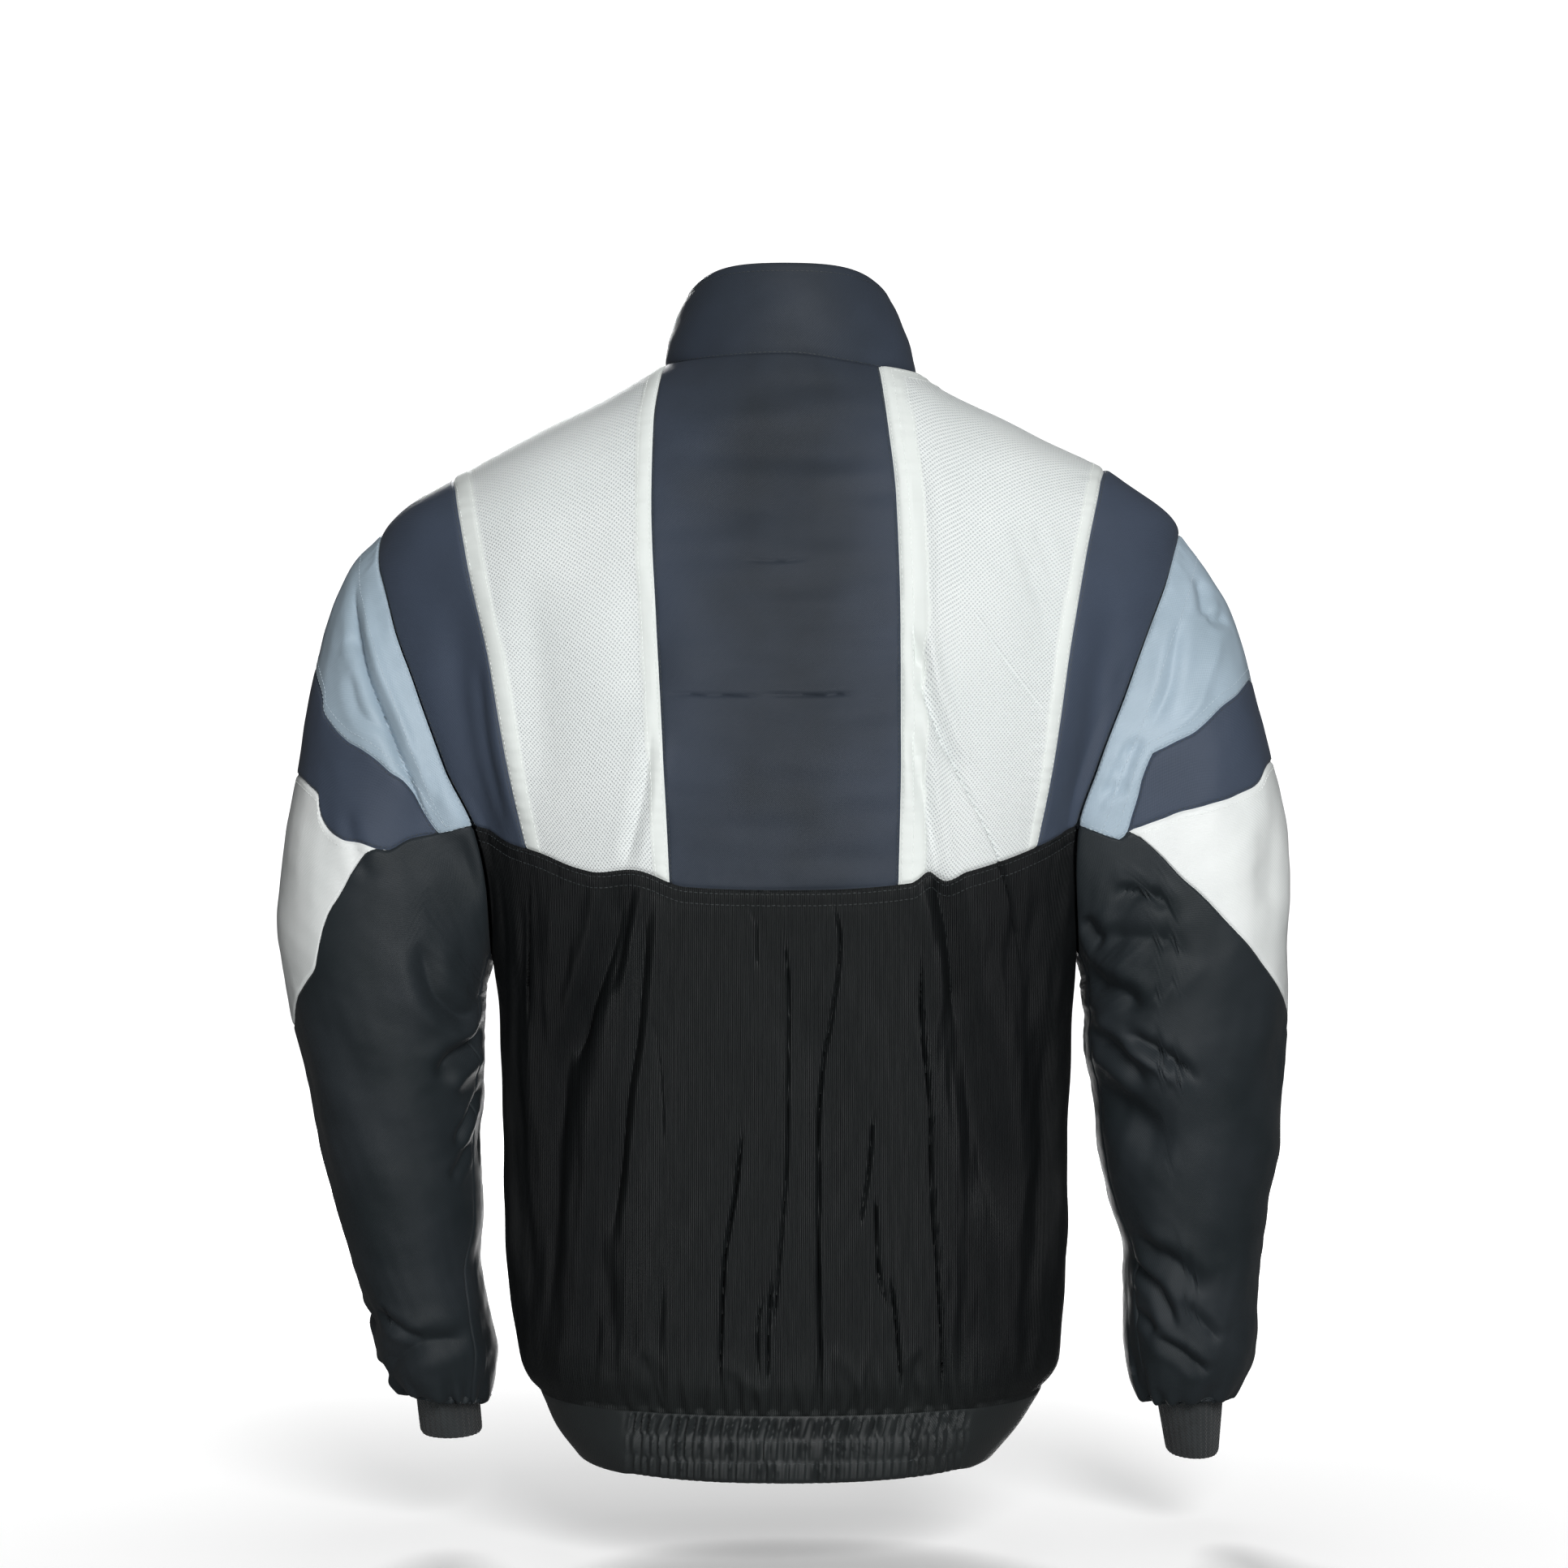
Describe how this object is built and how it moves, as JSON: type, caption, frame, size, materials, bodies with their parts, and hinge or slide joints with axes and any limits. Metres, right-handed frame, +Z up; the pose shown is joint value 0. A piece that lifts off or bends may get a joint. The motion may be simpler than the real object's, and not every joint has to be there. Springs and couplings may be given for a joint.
{
  "type": "windbreaker jacket",
  "caption": "Colour-blocked windbreaker with stand collar, yoke, mesh upper-back panels, gathered elastic hem and ribbed cuffs, held in its worn shape.",
  "frame": {"origin": "between the shoulder seams at the base of the neck, where the wearer's shoulders carry the garment", "axes": "+Z up along the body, -Y to the front with the zip, +X to the wearer's left"},
  "size_m": [0.64, 0.2612, 0.7559],
  "materials": {
    "charcoal_woven": "charcoal woven polyester, soft sheen",
    "black_crinkled": "near-black crinkled polyester, fine upright ribs",
    "white_mesh": "off-white perforated mesh",
    "black_woven": "near-black woven polyester, soft sheen",
    "hem_elastic": "near-black woven polyester over shirred elastic",
    "blue_woven": "pale grey-blue woven polyester",
    "white_woven": "off-white woven polyester",
    "rib_knit": "charcoal rib knit",
    "zip_tape": "near-black woven zip tape",
    "zip_metal": "black lacquered zinc"
  },
  "bodies": {
    "jacket": {"back_centre_panel": "charcoal_woven", "back_lower_panel": "black_crinkled", "back_mesh_panel_left": "white_mesh", "back_mesh_panel_right": "white_mesh", "back_side_panel_left": "charcoal_woven", "back_side_panel_right": "charcoal_woven", "collar": "charcoal_woven", "cuff_left": "rib_knit", "cuff_right": "rib_knit", "front_left": "black_woven", "front_right": "black_woven", "hem_band_back": "hem_elastic", "hem_band_front_left": "hem_elastic", "hem_band_front_right": "hem_elastic", "sleeve_blue_cap_left": "blue_woven", "sleeve_blue_cap_right": "blue_woven", "sleeve_dark_stripe_left": "charcoal_woven", "sleeve_dark_stripe_right": "charcoal_woven", "sleeve_elbow_piece_left": "white_woven", "sleeve_elbow_piece_right": "white_woven", "sleeve_lower_left": "black_woven", "sleeve_lower_right": "black_woven", "zip_slider": "zip_metal", "zip_tape_left": "zip_tape", "zip_tape_right": "zip_tape"},
    "pull_tab": {"zip_pull_tab": "zip_metal"}
  },
  "joints": [
    {"name": "pull_tab_hinge", "type": "hinge", "parent": "jacket", "child": "pull_tab", "pos_m": [0, -0.09477, -0.08543], "axis": [-1, 0, 0], "range_deg": [0, 150]}
  ]
}
